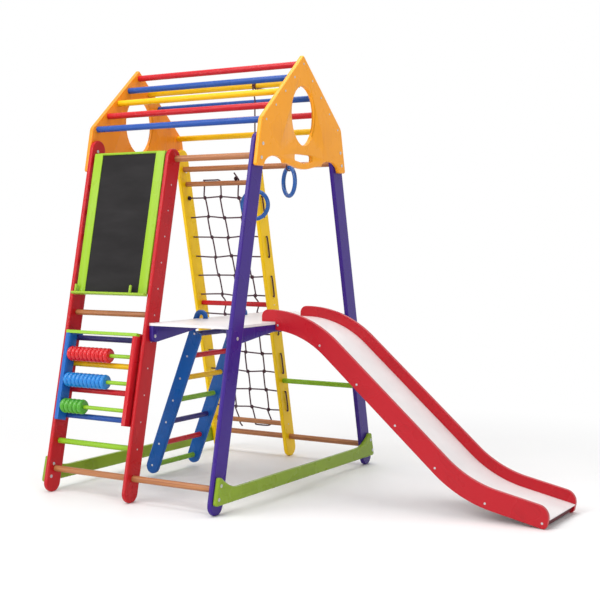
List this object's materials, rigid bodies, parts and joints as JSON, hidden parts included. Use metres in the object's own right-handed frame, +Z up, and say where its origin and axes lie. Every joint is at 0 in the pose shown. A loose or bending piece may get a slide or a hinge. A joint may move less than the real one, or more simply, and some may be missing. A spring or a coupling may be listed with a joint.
{
  "type": "indoor climbing frame",
  "caption": "Indoor climbing frame: A-frame with roof bars, rung ladder, rope net, deck, slide, hooked ladder, chalkboard, bead abacus and hanging rings.",
  "frame": {"origin": "on the floor, under the middle of the whole object's box", "axes": "+X along the roof bars towards the slide's tip, +Y towards the net slope, +Z up"},
  "size_m": [1.8992, 1.2066, 1.6979],
  "materials": {
    "orange_paint": "satin paint on plywood",
    "red_paint": "satin paint on pine",
    "slide_red_paint": "satin paint on plywood",
    "blue_paint": "satin paint on pine",
    "navy_paint": "satin paint on pine",
    "yellow_paint": "satin paint on pine",
    "lime_paint": "satin paint on pine",
    "green_paint": "satin paint on plywood",
    "purple_paint": "satin paint on pine",
    "brown_stain": "stained pine dowel",
    "ladder_blue_paint": "satin paint on plywood",
    "white_sheet": "smooth laminated board",
    "chalk_panel": "matte chalkboard paint",
    "red_bead": "glossy",
    "light_blue_bead": "glossy",
    "green_bead": "glossy",
    "ring_blue": "smooth moulded",
    "rope": "braided cord"
  },
  "bodies": {
    "frame": {"gable_left": "orange_paint", "gable_right": "orange_paint", "roof_bar_apex": "red_paint", "roof_bar_front_1": "blue_paint", "roof_bar_front_2": "yellow_paint", "roof_bar_front_3": "red_paint", "roof_bar_front_4": "blue_paint", "roof_bar_rear_1": "yellow_paint", "roof_bar_rear_2": "blue_paint", "roof_bar_rear_3": "red_paint", "roof_bar_rear_4": "yellow_paint", "rail_front_left": "red_paint", "rail_front_middle": "red_paint", "leg_front_right": "purple_paint", "rail_rear_left": "yellow_paint", "rail_rear_middle": "yellow_paint", "leg_rear_right": "purple_paint", "front_top_bar": "brown_stain", "front_bottom_bar": "brown_stain", "front_rung_02": "brown_stain", "front_rung_03": "brown_stain", "front_rung_04": "brown_stain", "front_rung_05": "brown_stain", "front_rung_06": "brown_stain", "front_rung_07": "brown_stain", "front_rung_08": "navy_paint", "front_rung_09": "yellow_paint", "front_rung_10": "red_paint", "front_rung_11": "blue_paint", "front_rung_12": "lime_paint", "rear_top_bar": "brown_stain", "rear_bottom_bar": "brown_stain", "net_top_rung": "brown_stain", "net_bottom_rung": "brown_stain", "rear_red_rung": "red_paint", "rear_green_bar": "lime_paint", "base_board_left": "green_paint", "base_board_right": "green_paint", "deck_sheet": "white_sheet", "deck_board_left": "purple_paint", "deck_board_right": "purple_paint", "climbing_net": "rope"},
    "slide": {"slide_side_front": "slide_red_paint", "slide_side_rear": "slide_red_paint", "slide_sheet": "white_sheet"},
    "hooked_ladder": {"ladder_rail_front": "ladder_blue_paint", "ladder_rail_rear": "ladder_blue_paint"},
    "chalkboard": {"chalkboard_frame": "lime_paint", "chalkboard_panel": "chalk_panel", "chalkboard_ledge": "lime_paint"},
    "abacus": {"abacus_side_left": "ladder_blue_paint", "abacus_side_right_and_rods": "red_paint", "abacus_top_strip": "lime_paint"},
    "beads_red": {"abacus_beads_red": "red_bead"},
    "beads_light_blue": {"abacus_beads_light_blue": "light_blue_bead"},
    "beads_green": {"abacus_beads_green": "green_bead"},
    "ring_left_swing": {"ring_left": "ring_blue", "ring_rope_left": "rope"},
    "ring_right_swing": {"ring_right": "ring_blue", "ring_rope_right": "rope"}
  },
  "joints": [
    {"name": "slide_lift", "type": "slide", "parent": "frame", "child": "slide", "axis": [0, 0, 1], "range_m": [0, 0.05]},
    {"name": "ladder_lift", "type": "slide", "parent": "frame", "child": "hooked_ladder", "axis": [0, 0, 1], "range_m": [0, 0.02]},
    {"name": "chalkboard_lift", "type": "slide", "parent": "frame", "child": "chalkboard", "axis": [0, 0.213, 0.9771], "range_m": [0, 0.03]},
    {"name": "abacus_lift", "type": "slide", "parent": "frame", "child": "abacus", "axis": [0, 0.213, 0.9771], "range_m": [0, 0.03]},
    {"name": "red_beads", "type": "slide", "parent": "abacus", "child": "beads_red", "axis": [1, 0, 0], "range_m": [0, 0.106]},
    {"name": "light_blue_beads", "type": "slide", "parent": "abacus", "child": "beads_light_blue", "axis": [1, 0, 0], "range_m": [0, 0.106]},
    {"name": "green_beads", "type": "slide", "parent": "abacus", "child": "beads_green", "axis": [1, 0, 0], "range_m": [0, 0.188]},
    {"name": "left_ring_swing", "type": "hinge", "parent": "frame", "child": "ring_left_swing", "pos_m": [-0.387, 0.0667, 1.6066], "axis": [1, 0, 0], "range_deg": [-30, 20]},
    {"name": "right_ring_swing", "type": "hinge", "parent": "frame", "child": "ring_right_swing", "pos_m": [-0.2229, 0.0667, 1.6066], "axis": [1, 0, 0], "range_deg": [-30, 20]}
  ]
}
